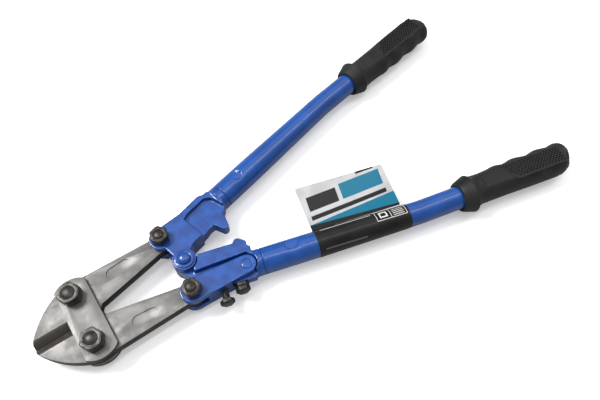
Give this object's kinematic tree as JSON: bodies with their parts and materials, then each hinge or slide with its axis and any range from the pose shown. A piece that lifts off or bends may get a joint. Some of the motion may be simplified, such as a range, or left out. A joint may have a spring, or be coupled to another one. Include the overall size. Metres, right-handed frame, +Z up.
{
  "type": "bolt cutters",
  "caption": "Long-handled bolt cutters: two forged jaws on cover plates, driven by tubular handles with rubber grips through a compound linkage.",
  "frame": {"origin": "on the surface the tool lies on, under the axis of the centre pivot that joins the two handles", "axes": "+X from the centre pivot along the tool towards the grips, +Z up, along the pivot axes, with the tool lying flat"},
  "size_m": [0.4443, 0.2186, 0.0343],
  "materials": {
    "blue_enamel_casting": "glossy royal-blue enamel over forged steel, slightly uneven",
    "blue_enamel_tube": "glossy royal-blue enamel over drawn tube",
    "black_rubber": "moulded matte black rubber with a fine raised pattern",
    "dark_wrap": "black printed film with plain pale bars, no lettering",
    "tag_card": "silver-white printed card with a plain teal wedge, no lettering",
    "tool_steel": "satin ground tool steel with dark edges",
    "ground_plate": "satin ground steel plate",
    "plated_fastener": "brownish passivated steel",
    "blackened_fastener": "oiled black-oxide steel"
  },
  "bodies": {
    "lower_handle": {"lower_head": "blue_enamel_casting", "lower_tube": "blue_enamel_tube", "lower_grip": "black_rubber", "tube_label": "dark_wrap", "tag_card": "tag_card", "centre_rivet": "blue_enamel_casting", "front_centre_washer": "blue_enamel_casting", "rear_centre_washer": "blue_enamel_casting", "yoke_rivet": "blue_enamel_casting", "setting_lock_nut": "blackened_fastener"},
    "head_screw": {"head_setting_screw": "blackened_fastener"},
    "yoke": {"yoke": "blue_enamel_casting", "lower_tail_bolt": "plated_fastener", "lower_tail_washer": "plated_fastener", "lower_tail_nut": "plated_fastener"},
    "yoke_screw": {"yoke_setting_screw": "blackened_fastener"},
    "lower_jaw": {"lower_jaw": "tool_steel"},
    "pivot_plates": {"front_plate": "ground_plate", "rear_plate": "ground_plate", "upper_jaw_bolt": "blackened_fastener", "lower_jaw_bolt": "blackened_fastener", "upper_jaw_washer": "blackened_fastener", "lower_jaw_washer": "blackened_fastener", "upper_jaw_nut": "blackened_fastener", "lower_jaw_nut": "blackened_fastener"},
    "upper_jaw": {"upper_jaw": "tool_steel"},
    "upper_handle": {"upper_head": "blue_enamel_casting", "upper_tube": "blue_enamel_tube", "upper_grip": "black_rubber", "upper_tail_bolt": "plated_fastener", "upper_tail_washer": "plated_fastener", "upper_tail_nut": "plated_fastener"}
  },
  "joints": [
    {"name": "handle_fold", "type": "hinge", "parent": "lower_handle", "child": "upper_handle", "pos_m": [0, 0, 0.016], "axis": [0, 0, 1], "range_deg": [0, 72]},
    {"name": "yoke_setting", "type": "hinge", "parent": "lower_handle", "child": "yoke", "pos_m": [0.03751, -0.02949, 0.016], "axis": [0, 0, 1], "range_deg": [-0.4, 0.4]},
    {"name": "lower_jaw_pivot", "type": "hinge", "parent": "yoke", "child": "lower_jaw", "pos_m": [-0.00693, -0.02568, 0.016], "axis": [0, 0, 1], "range_deg": [0, 42.8]},
    {"name": "plates_pivot", "type": "hinge", "parent": "lower_jaw", "child": "pivot_plates", "pos_m": [-0.0825, -0.0203, 0.016], "axis": [0, 0, 1], "range_deg": [-6.8, 0]},
    {"name": "upper_jaw_pivot", "type": "hinge", "parent": "pivot_plates", "child": "upper_jaw", "pos_m": [-0.0825, 0.0203, 0.016], "axis": [0, 0, 1], "range_deg": [-6.8, 0]},
    {"name": "yoke_screw_turn", "type": "slide", "parent": "yoke", "child": "yoke_screw", "axis": [-0.2605, -0.9655, 0], "range_m": [-0.00016, 0.00016]},
    {"name": "head_screw_turn", "type": "slide", "parent": "lower_handle", "child": "head_screw", "axis": [-0.2605, -0.9655, 0], "range_m": [-0.00006, 0.00006]}
  ],
  "couplings": [
    {"joint": "lower_jaw_pivot", "follows": "handle_fold", "ratio": 0.59436},
    {"joint": "plates_pivot", "follows": "handle_fold", "ratio": -0.09436},
    {"joint": "upper_jaw_pivot", "follows": "handle_fold", "ratio": -0.09436},
    {"joint": "yoke_screw_turn", "follows": "yoke_setting", "m_per_rad": -0.0216},
    {"joint": "head_screw_turn", "follows": "yoke_setting", "m_per_rad": 0.0079}
  ]
}
